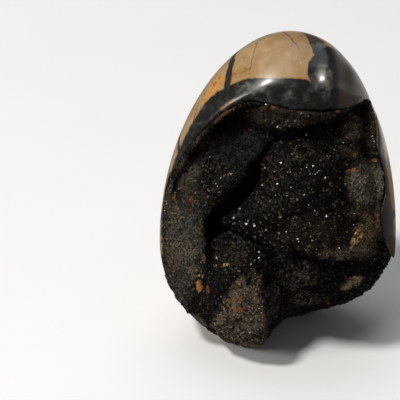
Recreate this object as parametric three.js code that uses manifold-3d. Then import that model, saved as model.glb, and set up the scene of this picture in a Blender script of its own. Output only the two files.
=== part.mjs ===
// A septarian nodule ground and polished to an egg, standing on a small flat spot.
// Its open hollow shows the cracked blocks of the nodule's inside, all under one crust of black calcite.
// Millimetres, +Z up. The origin is under the egg's middle, at the height of the flat spot.
// The hollow opens towards -Y.
import * as THREE from "three";
import { mergeVertices } from "three/addons/utils/BufferGeometryUtils.js";
import Module from "manifold-3d";

const wasm = await Module();
wasm.setup();

// Driving dimensions of the egg, measured from its axis and its widest belt.
const egg = {
  halfWidth: 43.2,
  halfDepth: 38,
  topHeight: 80,
  bottomHeight: 41.6,
  beltHeight: 37.6, // height of the belt above the flat spot
  lean: [4.1, 8], // how far the tip stands to the right and to the back
  fineness: 8,
};
const middle = [0, 2.2]; // middle of the egg's outline seen from above, measured from its axis

// The hollow is laid out on the open face, which leans back from upright.
// There u runs to the right, v up the face and w out of it, from the egg's middle.
const faceLean = 30;
const crustThickness = 1.4;
const crustGap = 0.3;

// The edge of the hollow, anticlockwise from the right. Below the belt it runs out past the egg.
const rim = {
  pole: [0, 12],
  points: [
    [39, -3.5], [36.2, 2], [34.6, 9], [36.6, 17.5], [35.8, 25], [33.4, 32.5], [33.4, 41.5], [32.6, 50.5],
    [28, 48.5], [22.5, 46], [13.5, 44.5], [3, 45.5], [-6.5, 48], [-11.5, 48.5], [-20, 44.5], [-28.5, 36.5],
    [-33.6, 29.5], [-37.6, 22], [-39.9, 13], [-40.3, 2], [-40.4, -7.5], [-48, -24], [-44, -46], [-20, -60],
    [10, -60], [36, -44], [50, -20], [44, -9],
  ],
};
// The stone's polished edge is a narrow quarter round, and the crust begins at its foot. Along the top
// a wide band also slopes down to it from a soft fold: top and spread say where, in degrees about the pole.
const lip = { width: 1.6, depth: 1.4 };
const band = { width: 10.5, depth: 5, fold: 0.22, top: 70, spread: 34 };
// A rounded ridge in the polish runs up from the lip at the right: half widths to its left and right.
const ridge = { place: [18, 62], halfWidth: [4.3, 3], halfLength: 13, rise: 3.6 };
// How deep the hollow lies under the egg's surface, from its middle out to the rim.
const bowl = [[0, 27], [0.3, 27], [0.6, 26], [0.85, 21], [1, 12]];
// At the lower right the hollow runs out through the back of the egg.
const outlet = {
  pole: [20, -62],
  points: [
    [-6, -37], [1, -30.5], [8, -28.5], [17, -26], [28.5, -23.5], [35, -20], [40.5, -13], [50, -4],
    [62, -30], [50, -66], [20, -80], [-6, -66],
  ],
  flare: [[-80, 0.9], [-34, 0.99], [-22, 1.02], [-9, 1.15], [5, 1.38], [70, 1.5]],
};

// The blocks in the hollow. sunk is the depth of the block's face under the egg's surface at the pivot,
// fall how much deeper it gets along u and along v, bulge how far it curves away towards its edge,
// and edge the depth of the rounded border. roll says between which v the face turns down under a ledge,
// between which u that fades, and how deep it goes at the left and at the right.
const blocks = [
  {
    name: "left slab", pivot: [-36, 2], sunk: 4, fall: [0.35, 0.12], bulge: 0.5, edge: 2.5,
    outline: [
      [-24, 16.5], [-28, 19.5], [-35, 20], [-41, 19], [-45.5, 10], [-46, -10], [-38, -32], [-32, -25.5],
      [-29, -19.5], [-26.5, -12], [-25.5, -5], [-27, 3], [-26.5, 8.5], [-22, 13.5],
    ],
  },
  {
    name: "upper left block", pivot: [-17, 34], sunk: 13, fall: [0.25, 0], bulge: -5, edge: 2,
    outline: [
      [3.5, 40.5], [-1.5, 38], [-4.5, 34.5], [-8, 29.5], [-11.5, 26.5], [-14, 22.5], [-18, 17.5],
      [-22, 13.5], [-27, 13.5], [-36, 12], [-46, 12], [-44, 32], [-30, 46], [-14, 58], [2, 56],
    ],
  },
  {
    name: "upper left lump", pivot: [-18.5, 21], sunk: 6, fall: [0.2, 0.1], bulge: 3.5, edge: 2.5,
    outline: [
      [-27, 18], [-24, 25], [-17, 28], [-10, 27.5], [-13.5, 22.5], [-17, 18.5], [-21.5, 14.5],
    ],
  },
  {
    name: "top ledge", pivot: [4, 43], sunk: 8.2, fall: [0, -0.4], bulge: 0.5, edge: 1.5,
    outline: [
      [-14, 47], [-10, 42.5], [-6, 40], [-0.5, 39.5], [5.5, 40.5], [14, 43], [20, 45.5], [27, 48.5],
      [24, 56], [4, 60], [-14, 56],
    ],
  },
  {
    name: "great block", pivot: [18, 16], sunk: 3.5, fall: [-0.06, 0.12], bulge: 3.5, edge: 3,
    roll: { over: [30, 43], fade: [14, 28], depth: [11, 3] },
    outline: [
      [-20, 8.5], [-18.5, 5.5], [-12.5, 4], [-6.5, 0.5], [-2, -1], [7.5, -1.5], [9, -4], [16, -6],
      [25, -6], [33, -6.5], [40, -5.5], [50, -1], [56, 24], [48, 54], [30, 60], [6, 52], [-3, 38],
      [-6.5, 28], [-6.5, 21.5], [-13, 13],
    ],
  },
  {
    name: "small step", pivot: [-0.5, -4.5], sunk: 19, fall: [0, 0], bulge: 1.5, edge: 1.5,
    outline: [[-6, -1], [-5, -7.5], [0.5, -9], [4.5, -6.5], [4, 2], [-4, 3]],
  },
  {
    name: "thumb block", pivot: [-16, -14], sunk: 6.5, fall: [0, 0.22], bulge: 3.5, edge: 3,
    outline: [
      [-26, -7.5], [-26, -1.5], [-21.5, 1.5], [-17, 4], [-12, 3], [-8, 0.5], [-5.5, -2.5], [-5, -10],
      [-6.5, -17.5], [-5, -24.5], [-3.8, -33], [-5.5, -37.5], [-12, -39.5], [-22, -38], [-33, -29],
      [-30, -20], [-27, -12],
    ],
  },
  {
    name: "thumb side", pivot: [-4, -18], sunk: 19, fall: [1, -0.2], bulge: 1, edge: 2,
    outline: [
      [-8, -3], [-4, -7], [-2, -11], [0, -18], [0.5, -24], [2.5, -28], [-0.5, -31], [-4, -36],
      [-9, -38], [-14, -30],
    ],
  },
  {
    name: "thumb plate", pivot: [-13, -24], sunk: 4, fall: [0, 0.3], bulge: 0.5, edge: 1.2,
    outline: [
      [-19, -17.5], [-16, -14.5], [-12, -13.5], [-8, -14.5], [-7, -17.5], [-5.5, -24.5], [-4.5, -33],
      [-6.5, -37], [-14, -39], [-23.5, -33.5], [-20.5, -26.5],
    ],
  },
  {
    name: "deep lump", pivot: [7, -12], sunk: 23, fall: [0, 0], bulge: 3.5, edge: 2.5,
    outline: [
      [-2.5, -10], [0.5, -6], [8, -4], [17, -6], [16, -12.5], [12, -17], [6, -20.5], [1.5, -19.5],
      [-1, -15],
    ],
  },
];

const crystals = { count: 64, radius: [1.4, 2.4], seed: 7 }; // the largest ones that stand out of the crust

// Frame of the open face, from (u, v, w) to the part's millimetres.
const lean = THREE.MathUtils.degToRad(faceLean);
const acrossFace = new THREE.Vector3(1, 0, 0);
const upFace = new THREE.Vector3(0, Math.sin(lean), Math.cos(lean));
const outOfFace = new THREE.Vector3(0, -Math.cos(lean), Math.sin(lean));
const openFace = new THREE.Matrix4()
  .makeBasis(acrossFace, upFace, outOfFace)
  .setPosition(-middle[0], -middle[1], egg.beltHeight);
const toOpenFace = openFace.clone().invert();

// Height w over a place on the open face of an egg whose tip stands straight above its belt.
function uprightHeight(u, v) {
  let height = 0;
  for (const reach of [egg.bottomHeight, egg.topHeight]) {
    const a = (upFace.z / egg.halfDepth) ** 2 + (upFace.y / reach) ** 2;
    const b = v * upFace.y * upFace.z * (1 / reach ** 2 - 1 / egg.halfDepth ** 2);
    const rest = (upFace.y / egg.halfDepth) ** 2 + (upFace.z / reach) ** 2;
    const c = (u / egg.halfWidth) ** 2 + v * v * rest - 1;
    const found = (-b + Math.sqrt(Math.max(b * b - a * c, 0))) / a;
    const isAboveBelt = v * upFace.z + found * outOfFace.z > 0;
    if (reach === egg.bottomHeight || isAboveBelt) height = found;
  }
  return height;
}

// The same for the egg as it is, with its leaning tip.
function surfaceHeight(u, v) {
  const above = v * upFace.z + uprightHeight(u, v) * outOfFace.z;
  const share = Math.max(above / egg.topHeight, 0) ** 2;
  const back = egg.lean[1] * share;
  return uprightHeight(u - egg.lean[0] * share, v - back * upFace.y) - back * upFace.z;
}

// Low swellings that keep the blocks from being smooth.
function swelling(u, v) {
  const broad = Math.sin(0.42 * u + 1.3 * Math.sin(0.3 * v)) * Math.cos(0.37 * v + 0.8 * Math.sin(0.26 * u));
  const small = Math.sin(0.95 * u - 0.6 * v) * Math.sin(0.7 * u + 1.1 * v);
  return 0.6 * broad + 0.35 * small;
}

// A closed mesh as a manifold-3d solid, turned round if its faces point inwards.
function solidOf(geometry) {
  const bare = geometry.clone();
  bare.deleteAttribute("normal");
  bare.deleteAttribute("uv");
  const merged = mergeVertices(bare, 1e-4);
  const triVerts = new Uint32Array(merged.index.array);
  const vertProperties = new Float32Array(merged.attributes.position.array);
  const solid = new wasm.Manifold(new wasm.Mesh({ numProp: 3, vertProperties, triVerts }));
  if (solid.volume() > 0) return solid;
  for (let i = 0; i < triVerts.length; i += 3) {
    [triVerts[i + 1], triVerts[i + 2]] = [triVerts[i + 2], triVerts[i + 1]];
  }
  return new wasm.Manifold(new wasm.Mesh({ numProp: 3, vertProperties, triVerts }));
}

function geometryOf(solid) {
  const { vertProperties, triVerts, numProp, numVert } = solid.getMesh();
  const positions = new Float32Array(numVert * 3);
  for (let i = 0; i < numVert; i++) {
    positions.set(vertProperties.subarray(i * numProp, i * numProp + 3), i * 3);
  }
  const geometry = new THREE.BufferGeometry();
  geometry.setAttribute("position", new THREE.BufferAttribute(positions, 3));
  geometry.setIndex(new THREE.BufferAttribute(triVerts, 1));
  return geometry;
}

function closedCurve(points, divisions) {
  const corners = points.map(([u, v]) => new THREE.Vector3(u, v, 0));
  const curve = new THREE.CatmullRomCurve3(corners, true, "catmullrom", 0.4);
  return curve.getPoints(divisions).slice(0, divisions);
}

// A closed form whose cross-section is an outline that grows and shrinks ring by ring, from back to front.
// Each ring is [share of the outline, height over a place on the open face].
function ringForm(outline, pole, rings, grow) {
  const profile = rings.map(([share], i) => new THREE.Vector2(share, i));
  const geometry = new THREE.LatheGeometry(profile, outline.length);
  const position = geometry.attributes.position;
  const centre = new THREE.Vector3(pole[0], pole[1], 0);
  const arm = new THREE.Vector3();
  for (let k = 0; k < position.count; k++) {
    const [share, heightAt] = rings[k % rings.length];
    arm.copy(outline[Math.floor(k / rings.length) % outline.length]).sub(centre);
    arm.multiplyScalar(share);
    const drawn = arm.clone().add(centre);
    if (share > 0) arm.setLength(arm.length() + grow);
    arm.add(centre);
    position.setXYZ(k, arm.x, arm.y, Math.min(heightAt(arm.x, arm.y), heightAt(drawn.x, drawn.y)));
  }
  return solidOf(geometry.applyMatrix4(openFace));
}

const rimCurve = closedCurve(rim.points, 180);

function isInRim(u, v) {
  let inside = false;
  rimCurve.forEach((a, i) => {
    const b = rimCurve[(i + 1) % rimCurve.length];
    if (a.y > v !== b.y > v && u < a.x + ((v - a.y) / (b.y - a.y)) * (b.x - a.x)) inside = !inside;
  });
  return inside;
}

// How far the polish sinks the stone at a place on the open face, by the lip and the band together.
function lipDrop(u, v) {
  const angle = THREE.MathUtils.radToDeg(Math.atan2(v - rim.pole[1], u - rim.pole[0]));
  const nearTop = Math.exp(-(((angle - band.top) / band.spread) ** 4));
  const away = isInRim(u, v) ? 0 : Math.min(...rimCurve.map((p) => Math.hypot(p.x - u, p.y - v)));
  const overLip = THREE.MathUtils.clamp(1 - (away - crustThickness - crustGap) / lip.width, 0, 1);
  const overBand = Math.max(1 - away / (band.width * nearTop + 0.01), 0);
  const slope = (Math.hypot(overBand, band.fold) - band.fold) / (Math.hypot(1, band.fold) - band.fold);
  return lip.depth * (1 - Math.sqrt(1 - overLip ** 2)) + band.depth * nearTop * slope;
}

function ridgeRise(u, v) {
  const side = (u - ridge.place[0]) / ridge.halfWidth[u < ridge.place[0] ? 0 : 1];
  const along = (v - ridge.place[1]) / ridge.halfLength;
  return ridge.rise * Math.exp(-(side ** 2) - along ** 2);
}

function eggPoint(n) {
  const up = Math.max(n.z, 0) ** 2;
  const point = new THREE.Vector3(
    egg.halfWidth * n.x + egg.lean[0] * up - middle[0],
    egg.halfDepth * n.y + egg.lean[1] * up - middle[1],
    egg.beltHeight + n.z * (n.z > 0 ? egg.topHeight : egg.bottomHeight),
  );
  const onFace = point.clone().applyMatrix4(toOpenFace);
  const front = THREE.MathUtils.smoothstep(onFace.z, 0, 12);
  const change = ridgeRise(onFace.x, onFace.y) - lipDrop(onFace.x, onFace.y);
  return point.addScaledVector(outOfFace, front * change);
}

// The egg with its rolled lip, standing on the flat spot.
function makeEgg() {
  const geometry = new THREE.IcosahedronGeometry(1, egg.fineness);
  const position = geometry.attributes.position;
  const point = new THREE.Vector3();
  for (let k = 0; k < position.count; k++) {
    const placed = eggPoint(point.fromBufferAttribute(position, k).normalize());
    position.setXYZ(k, placed.x, placed.y, placed.z);
  }
  const under = new THREE.BoxGeometry(200, 200, 60).translate(0, 0, -30);
  return solidOf(geometry).subtract(solidOf(under));
}

// The hollow as it would be with no blocks in it, its wall moved back by depth.
function makeHollow(depth) {
  const rings = bowl.map(([share, sunk]) => [share, (u, v) => surfaceHeight(0.9 * u, 0.9 * v) - sunk - depth]);
  rings.push([1, () => 90], [0, () => 90]);
  const basin = ringForm(closedCurve(rim.points, 40), rim.pole, rings, depth);
  const steps = outlet.flare.map(([height, share]) => [share, () => height]);
  const ends = [[0, steps[0][1]], ...steps, [0, steps[steps.length - 1][1]]];
  return basin.add(ringForm(closedCurve(outlet.points, 24), outlet.pole, ends, depth));
}

function rollDepth(roll, u, v) {
  if (!roll) return 0;
  const deep = THREE.MathUtils.lerp(...roll.depth, THREE.MathUtils.smoothstep(u, ...roll.fade));
  return deep * THREE.MathUtils.smoothstep(v, ...roll.over);
}

function makeBlock({ outline, pivot, sunk, fall, bulge, edge, roll }, depth) {
  const faceAt = (drop) => (u, v) =>
    surfaceHeight(u, v) + swelling(u, v) - sunk - drop - depth
    - fall[0] * (u - pivot[0]) - fall[1] * (v - pivot[1]) - rollDepth(roll, u, v);
  const wall = [[0, () => -70], [1.05, () => -70], [1, faceAt(bulge + edge)]];
  const rounded = [[0.92, faceAt(bulge * 0.85 + edge * 0.2)], [0.66, faceAt(bulge * 0.45)], [0.32, faceAt(bulge * 0.1)]];
  // Under the crust the blocks are plainer.
  const face = depth === 0 ? rounded : [[0.6, faceAt(bulge * 0.36)]];
  const count = depth === 0 ? Math.round(outline.length * 1.3) : outline.length;
  return ringForm(closedCurve(outline, count), pivot, [...wall, ...face, [0, faceAt(0)]], -depth);
}

// A mass with the hollow and its blocks, where every surface in the hollow is moved back by depth.
function cracked(mass, depth) {
  let solid = mass.subtract(makeHollow(depth));
  blocks.forEach((block) => {
    solid = solid.add(makeBlock(block, depth));
  });
  return solid;
}

function rimPrism(grow) {
  const front = () => 80;
  const back = () => -80;
  return ringForm(closedCurve(rim.points, 48), rim.pole, [[0, back], [1, back], [1, front], [0, front]], grow);
}

// The crust with the largest of its crystals standing up from it.
function growCrystals(crust, room, underCrust) {
  let state = crystals.seed;
  const random = () => {
    state = (state * 16807) % 2147483647;
    return state / 2147483647;
  };
  const wall = new THREE.Mesh(geometryOf(crust), new THREE.MeshBasicMaterial());
  const ray = new THREE.Raycaster();
  const inward = outOfFace.clone().negate();
  const crystal = new THREE.Object3D();
  const grown = [];
  while (grown.length < crystals.count) {
    const u = THREE.MathUtils.lerp(-42, 40, random());
    const v = THREE.MathUtils.lerp(-38, 46, random());
    ray.set(new THREE.Vector3(u, v, 100).applyMatrix4(openFace), inward);
    const [hit] = ray.intersectObject(wall);
    if (!hit || hit.face.normal.dot(outOfFace) < 0.35) continue;
    const tilt = new THREE.Vector3(random() - 0.5, random() - 0.5, random() - 0.5);
    crystal.position.copy(hit.point);
    crystal.quaternion.setFromUnitVectors(crystal.up, hit.face.normal.clone().add(tilt).normalize());
    crystal.rotateY(random() * Math.PI);
    crystal.scale.setScalar(THREE.MathUtils.lerp(...crystals.radius, random() ** 2));
    crystal.updateMatrixWorld();
    grown.push(solidOf(new THREE.ConeGeometry(1, 1.3, 3).applyMatrix4(crystal.matrixWorld)));
  }
  const all = grown.reduce((a, b) => a.add(b));
  return crust.add(all.intersect(room).subtract(underCrust));
}

const mass = solidOf(new THREE.BoxGeometry(300, 300, 300));
const whole = makeEgg().intersect(cracked(mass, 0));
const crustBack = crustThickness + crustGap;
const underCrust = cracked(mass, crustThickness);
const bareCrust = whole.intersect(rimPrism(crustThickness)).subtract(underCrust);
const floor = solidOf(new THREE.BoxGeometry(200, 200, 60).translate(0, 0, crustGap - 30));
const crust = growCrystals(bareCrust, rimPrism(crustThickness), underCrust).subtract(floor);
const stone = whole.subtract(rimPrism(crustBack).subtract(cracked(mass, crustBack)));

const polishedStone = new THREE.MeshStandardMaterial({ color: 0x9a7f5c, roughness: 0.15, metalness: 0 });
const blackCalcite = new THREE.MeshStandardMaterial({ color: 0x1c1815, roughness: 0.3, metalness: 0 });

const nodule = new THREE.Mesh(geometryOf(stone), polishedStone);
nodule.name = "nodule";
const druse = new THREE.Mesh(geometryOf(crust), blackCalcite);
druse.name = "druse";

const septarianNodule = new THREE.Group();
septarianNodule.add(nodule, druse);

export default septarianNodule;
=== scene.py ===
import math
import random

import bmesh
import bpy
import numpy as np
from mathutils import Matrix, Vector, noise
from mathutils.bvhtree import BVHTree


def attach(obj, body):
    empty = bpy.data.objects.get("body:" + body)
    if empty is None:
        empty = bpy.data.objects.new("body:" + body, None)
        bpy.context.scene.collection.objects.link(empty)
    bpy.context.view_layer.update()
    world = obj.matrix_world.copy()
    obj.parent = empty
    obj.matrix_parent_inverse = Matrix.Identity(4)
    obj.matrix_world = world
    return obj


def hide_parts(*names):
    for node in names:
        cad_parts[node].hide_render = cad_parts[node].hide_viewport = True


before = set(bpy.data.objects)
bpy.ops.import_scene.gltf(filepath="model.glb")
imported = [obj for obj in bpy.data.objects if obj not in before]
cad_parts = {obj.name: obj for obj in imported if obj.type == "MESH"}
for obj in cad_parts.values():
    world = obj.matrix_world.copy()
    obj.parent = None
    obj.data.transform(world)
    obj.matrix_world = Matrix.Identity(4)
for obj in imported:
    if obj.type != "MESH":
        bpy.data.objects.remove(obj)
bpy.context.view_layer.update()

# Shapes are worked out in millimetres and brought to metres when their mesh is finished.
mm = 0.001

# The egg, measured from its axis and its widest belt.
egg = {
    "halfWidth": 43.2,
    "halfDepth": 38.0,
    "topHeight": 80.0,
    "bottomHeight": 41.6,
    "beltHeight": 37.6,
    "lean": (4.1, 8.0),  # how far the tip stands to the right and to the back
    "middle": (0.0, 2.2),
    "fineness": 7,
}

# The hollow is laid out on the open face: u to the right, v up the face and w out of it.
faceLean = math.radians(30)
acrossFace = np.array((1.0, 0.0, 0.0))
upFace = np.array((0.0, math.sin(faceLean), math.cos(faceLean)))
outOfFace = np.array((0.0, -math.cos(faceLean), math.sin(faceLean)))
faceCentre = np.array((-egg["middle"][0], -egg["middle"][1], egg["beltHeight"]))
faceAxes = np.array((acrossFace, upFace, outOfFace))

# The edge of the hollow on the open face.
rim = {
    "pole": (0, 12),
    "points": (
        (39, -3.5), (36.2, 2), (34.6, 9), (36.6, 17.5), (35.8, 25), (33.4, 32.5), (33.4, 41.5),
        (32.6, 50.5), (28, 48.5), (22.5, 46), (13.5, 44.5), (3, 45.5), (-6.5, 48), (-11.5, 48.5),
        (-20, 44.5), (-28.5, 36.5), (-33.6, 29.5), (-37.6, 22), (-39.9, 13), (-40.3, 2), (-40.4, -7.5),
        (-48, -24), (-44, -46), (-20, -60), (10, -60), (36, -44), (50, -20), (44, -9),
    ),
    "tension": 0.4,
    "steps": 180,
}
# The stone's polished edge is a narrow quarter round, and along the top a band slopes down to it.
lip = {"start": 1.7, "width": 3.4, "depth": 1.5}  # the crust lies between the rim and the start
band = {"width": 10.5, "depth": 5.0, "fold": 0.15, "top": 70.0, "spread": 34.0}
# A rounded ridge in the polish runs up from the lip at the right.
ridge = {"place": (18.0, 64.5), "halfWidth": (4.3, 4.0), "halfLength": 14.5, "rise": 3.6}
carvedFront = (0, 12)  # all three fade in between these heights w


def toFace(points):
    return (points - faceCentre) @ faceAxes.T


def toPart(points):
    return points @ faceAxes + faceCentre


def smoothstep(x, low, high):
    t = np.clip((x - low) / (high - low), 0, 1)
    return t * t * (3 - 2 * t)


# Camera, light and floor.
view = {
    "aim": (-28.44, -12.06, 60.53),
    "distance": 1100.0,
    "elevation": 30.0,
    "fieldWidth": 144.0,  # what the camera spans at that distance
    "sensor": 36.0,
    "clip": (0.05, 20.0),  # metres
}


def makeCamera():
    aim = Vector(view["aim"]) * mm
    back = Vector(outOfFace)
    camera = bpy.data.objects.new("camera", bpy.data.cameras.new("camera"))
    bpy.context.scene.collection.objects.link(camera)
    camera.location = aim + back * view["distance"] * mm
    camera.rotation_euler = (math.radians(90 - view["elevation"]), 0, 0)
    camera.data.sensor_width = view["sensor"]
    camera.data.lens = view["sensor"] * view["distance"] / view["fieldWidth"]
    camera.data.clip_start, camera.data.clip_end = view["clip"]
    bpy.context.scene.camera = camera


lights = {
    "window": {"place": (-1215, -903, 2644), "size": 420, "power": 60, "colour": (1.0, 0.97, 0.92)},
    "skyPanel": {"place": (-300, 900, 2600), "size": 2600, "power": 16, "colour": (0.9, 0.95, 1.0)},
    "sidePanel": {"place": (-1130, -680, 760), "size": 480, "power": 8, "colour": (1.0, 0.96, 0.9)},
}
lightsAim = (0, 0, 55)
surroundings = {"colour": (1.0, 1.0, 1.0), "strength": 0.13}


def makeLights():
    target = Vector(lightsAim) * mm
    for name, light in lights.items():
        data = bpy.data.lights.new(name, "AREA")
        data.shape = "DISK"
        data.size = light["size"] * mm
        data.energy = light["power"]
        data.color = light["colour"]
        lamp = bpy.data.objects.new(name, data)
        lamp.location = Vector(light["place"]) * mm
        lamp.rotation_euler = (target - lamp.location).to_track_quat("-Z", "Y").to_euler()
        bpy.context.scene.collection.objects.link(lamp)
    world = bpy.data.worlds.new("surroundings")
    world.use_nodes = True
    background = world.node_tree.nodes["Background"]
    background.inputs["Color"].default_value = (*surroundings["colour"], 1)
    background.inputs["Strength"].default_value = surroundings["strength"]
    bpy.context.scene.world = world
    bpy.context.scene.view_settings.view_transform = "Standard"


# Materials: a small way to write shaders.
class Wire:
    def __init__(self, recipe, socket):
        self.recipe = recipe
        self.socket = socket

    def maths(self, operation, *values):
        return self.recipe.node("ShaderNodeMath", {"operation": operation}, dict(enumerate(values)))

    def __add__(self, other):
        return self.maths("ADD", self, other)

    def __sub__(self, other):
        return self.maths("SUBTRACT", self, other)

    def __rsub__(self, other):
        return self.maths("SUBTRACT", other, self)

    def __mul__(self, other):
        return self.maths("MULTIPLY", self, other)

    def __truediv__(self, other):
        return self.maths("DIVIDE", self, other)

    def least(self, other):
        return self.maths("MINIMUM", self, other)

    def most(self, other):
        return self.maths("MAXIMUM", self, other)

    def ramp(self, low, high):
        inputs = {"Value": self, "From Min": low, "From Max": high}
        return self.recipe.node("ShaderNodeMapRange", {"interpolation_type": "SMOOTHSTEP"}, inputs)

    __radd__ = __add__


class Recipe:
    def __init__(self, name):
        self.material = bpy.data.materials.new(name)
        self.material.use_nodes = True
        self.tree = self.material.node_tree
        self.tree.nodes.clear()

    def node(self, kind, settings=None, inputs=None, output=0):
        made = self.tree.nodes.new(kind)
        for name, value in (settings or {}).items():
            setattr(made, name, value)
        for name, value in (inputs or {}).items():
            socket = made.inputs[name] if isinstance(name, int) else self.openSocket(made, name)
            if isinstance(value, Wire):
                self.tree.links.new(value.socket, socket)
            else:
                socket.default_value = value
        return Wire(self, made.outputs[output]) if isinstance(output, (int, str)) else made

    def openSocket(self, made, name):
        return next(s for s in made.inputs if s.name == name and s.enabled)

    def mixed(self, first, second, share):
        made = self.tree.nodes.new("ShaderNodeMix")
        made.data_type = "RGBA"
        for name, value in (("Factor", share), ("A", first), ("B", second)):
            socket = self.openSocket(made, name)
            if isinstance(value, Wire):
                self.tree.links.new(value.socket, socket)
            else:
                socket.default_value = value if name == "Factor" else (*value, 1)
        return Wire(self, next(s for s in made.outputs if s.enabled))

    def vectors(self, operation, first, second, output=0):
        return self.node("ShaderNodeVectorMath", {"operation": operation}, {0: first, 1: second}, output)

    def scaled(self, vector, amount):
        return self.node("ShaderNodeVectorMath", {"operation": "SCALE"}, {0: vector, "Scale": amount})

    def noise(self, place, size, detail=2.0, roughness=0.5):
        inputs = {"Vector": place, "Scale": 1 / size, "Detail": detail, "Roughness": roughness}
        return self.node("ShaderNodeTexNoise", {}, inputs, "Fac")

    def scattered(self, place, size, reach):
        # Round spots about that far apart.
        inputs = {"Vector": place, "Scale": 1 / size}
        spacing = self.node("ShaderNodeTexVoronoi", {}, inputs, "Distance")
        return 1 - spacing.ramp(reach * 0.6, reach)

    def warped(self, place, size, amount):
        # The place pushed about, so that what follows it gets an uneven edge.
        inputs = {"Vector": place, "Scale": 1 / size, "Detail": 2.0}
        push = self.node("ShaderNodeTexNoise", {}, inputs, "Color")
        centred = self.vectors("SUBTRACT", push, (0.5, 0.5, 0.5))
        return self.vectors("ADD", place, self.scaled(centred, amount))

    def alongLine(self, place, start, end):
        # Distance to a line between two places on the open face, and how far along it.
        start, end = Vector((*start, 0)), Vector((*end, 0))
        run = end - start
        flat = self.vectors("MULTIPLY", place, (1, 1, 0))
        local = self.vectors("SUBTRACT", flat, start)
        share = (self.vectors("DOT_PRODUCT", local, run, "Value") / run.length_squared).most(0).least(1)
        return self.distance(local, self.scaled(run, share)), share

    def stripe(self, place, ends, low, high):
        # 1 along a line, fading out between these distances from it.
        return 1 - self.alongLine(place, *ends)[0].ramp(low, high)

    def crack(self, place, places, wide, narrow):
        # A line through several places, from its wide end to its narrow one.
        line = None
        for k, (start, end) in enumerate(zip(places, places[1:])):
            away, share = self.alongLine(place, start, end)
            along = (share + k) / (len(places) - 1)
            half = wide + along * (narrow - wide)
            shown = 1 - (away / half).ramp(0.4, 1)
            line = shown if line is None else line.most(shown)
        return line

    def patch(self, place, low, high, middle, half, turn=0):
        # 1 inside an ellipse on the open face at any depth, fading out between these shares of its half size.
        anyDepth = 1e6
        inputs = {
            "Vector": place,
            "Location": (*middle, 0),
            "Rotation": (0, 0, math.radians(turn)),
            "Scale": (*half, anyDepth),
        }
        local = self.node("ShaderNodeMapping", {"vector_type": "TEXTURE"}, inputs)
        return 1 - self.distance(local, (0, 0, 0)).ramp(low, high)

    def patches(self, place, low, high, zones):
        shown = 0
        for zone in zones:
            shown = self.patch(place, low, high, *zone).most(shown)
        return shown

    def facet(self, place, corners):
        # How far inside a flat-sided patch of the open face; its corners run counter-clockwise.
        inside = None
        for (u, v), (nextU, nextV) in zip(corners, corners[1:] + corners[:1]):
            length = math.hypot(nextU - u, nextV - v)
            inward = ((v - nextV) / length, (nextU - u) / length, 0)
            dot = self.vectors("DOT_PRODUCT", place, inward, "Value")
            reach = dot - (inward[0] * u + inward[1] * v)
            inside = reach if inside is None else inside.least(reach)
        return inside

    def cells(self, place, size):
        inputs = {"Vector": place, "Scale": 1 / size}
        return self.node("ShaderNodeTexVoronoi", {"feature": "DISTANCE_TO_EDGE"}, inputs, "Distance") * size

    def distance(self, place, centre):
        return self.vectors("DISTANCE", place, centre, "Value")

    def bump(self, height, strength, depth):
        return self.node("ShaderNodeBump", {}, {"Height": height, "Strength": strength, "Distance": depth})

    def finish(self, inputs):
        shader = self.node("ShaderNodeBsdfPrincipled", {}, inputs)
        self.node("ShaderNodeOutputMaterial", {}, {"Surface": shader}, None)
        return self.material


def shade(red, green, blue):
    # A colour as it shows on a screen, 0 to 255, made linear.
    shares = (c / 255 for c in (red, green, blue))
    return tuple(((c + 0.055) / 1.055) ** 2.4 if c > 0.04 else c / 12.92 for c in shares)


def partPlace(recipe):
    # Places on the piece in millimetres.
    place = recipe.node("ShaderNodeTexCoord", {}, {}, "Object")
    return recipe.node("ShaderNodeMapping", {}, {"Vector": place, "Scale": (1 / mm,) * 3})


def facePlace(recipe, place):
    # The same on the open face.
    shift = tuple(-(faceAxes @ faceCentre))
    inputs = {"Vector": place, "Rotation": (faceLean - math.radians(90), 0, 0), "Location": shift}
    return recipe.node("ShaderNodeMapping", {}, inputs)


# Mesh helpers.
def meshObject(name, mesh):
    made = bpy.data.objects.new(name, mesh)
    bpy.context.scene.collection.objects.link(made)
    return made


def settled(source, name):
    # The object's mesh with its modifiers applied, as a new mesh; the source goes.
    depsgraph = bpy.context.evaluated_depsgraph_get()
    mesh = bpy.data.meshes.new_from_object(source.evaluated_get(depsgraph), depsgraph=depsgraph)
    bpy.data.objects.remove(source)
    mesh.name = name
    return mesh


def mergedCopy(node):
    # A CAD node's mesh in millimetres, with its loose triangles joined.
    sameSpot = 1e-7
    bm = bmesh.new()
    bm.from_mesh(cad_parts[node].data)
    bmesh.ops.remove_doubles(bm, verts=bm.verts, dist=sameSpot)
    bmesh.ops.scale(bm, vec=(1 / mm,) * 3, verts=bm.verts)
    return bm


def placesOf(mesh):
    places = np.empty(len(mesh.vertices) * 3)
    mesh.vertices.foreach_get("co", places)
    return places.reshape(-1, 3)


def setPlaces(mesh, places):
    mesh.vertices.foreach_set("co", places.ravel())
    mesh.update()


def normalsOf(mesh):
    normals = np.empty(len(mesh.vertices) * 3)
    mesh.vertices.foreach_get("normal", normals)
    return normals.reshape(-1, 3)


def evened(mesh, values, passes):
    # Values at the vertices, averaged with their neighbours' again and again.
    ends = np.empty(len(mesh.edges) * 2, int)
    mesh.edges.foreach_get("vertices", ends)
    starts, stops = ends.reshape(-1, 2).T
    count = np.bincount(ends, minlength=len(values))
    for _ in range(passes):
        total = np.bincount(starts, values[stops], len(values))
        total = total + np.bincount(stops, values[starts], len(values))
        values = (values + total / count) / 2
    return values


def setAttribute(mesh, name, values):
    mesh.attributes.new(name, "FLOAT", "POINT").data.foreach_set("value", values)


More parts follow.
